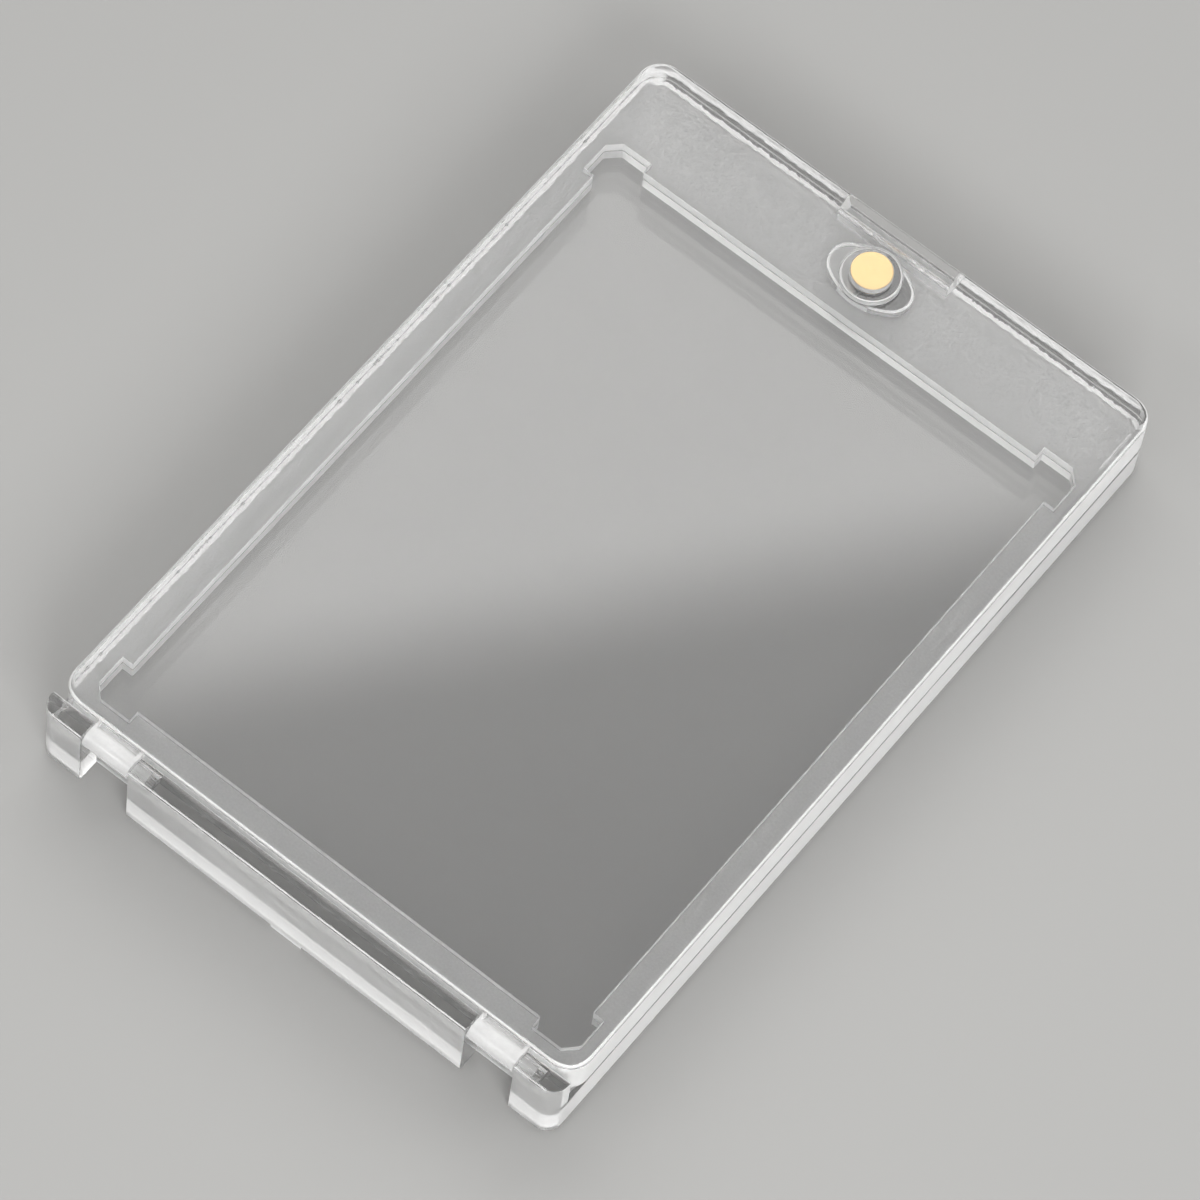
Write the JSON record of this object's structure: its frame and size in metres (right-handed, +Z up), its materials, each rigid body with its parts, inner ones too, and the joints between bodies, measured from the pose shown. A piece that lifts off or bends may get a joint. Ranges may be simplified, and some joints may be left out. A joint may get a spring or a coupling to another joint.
{
  "type": "trading card display case",
  "caption": "Clear hinged case that holds a thick trading card in a well between two windows, with stub-pin hinge, fingernail notch and magnetic closure.",
  "frame": {"origin": "middle of the closed case's underside", "axes": "+X across the case, +Y from the hinge end to the magnet end, +Z up through the cover's window"},
  "size_m": [0.072, 0.1094, 0.0113],
  "materials": {
    "clear_base": "polished clear acrylic, frosted on the parting face",
    "clear_cover": "polished clear acrylic, frosted on the parting face",
    "gold_plating": "satin gold-coloured plating",
    "clear_plug": "polished clear acrylic",
    "nickel_plating": "bright nickel plating"
  },
  "bodies": {
    "base": {"base": "clear_base", "base_magnet": "nickel_plating"},
    "cover": {"cover": "clear_cover", "cover_magnet": "gold_plating", "magnet_plug": "clear_plug"}
  },
  "joints": [
    {"name": "cover_hinge", "type": "hinge", "parent": "base", "child": "cover", "pos_m": [0, -0.05335, 0.0096], "axis": [1, 0, 0], "range_deg": [0, 100]}
  ]
}
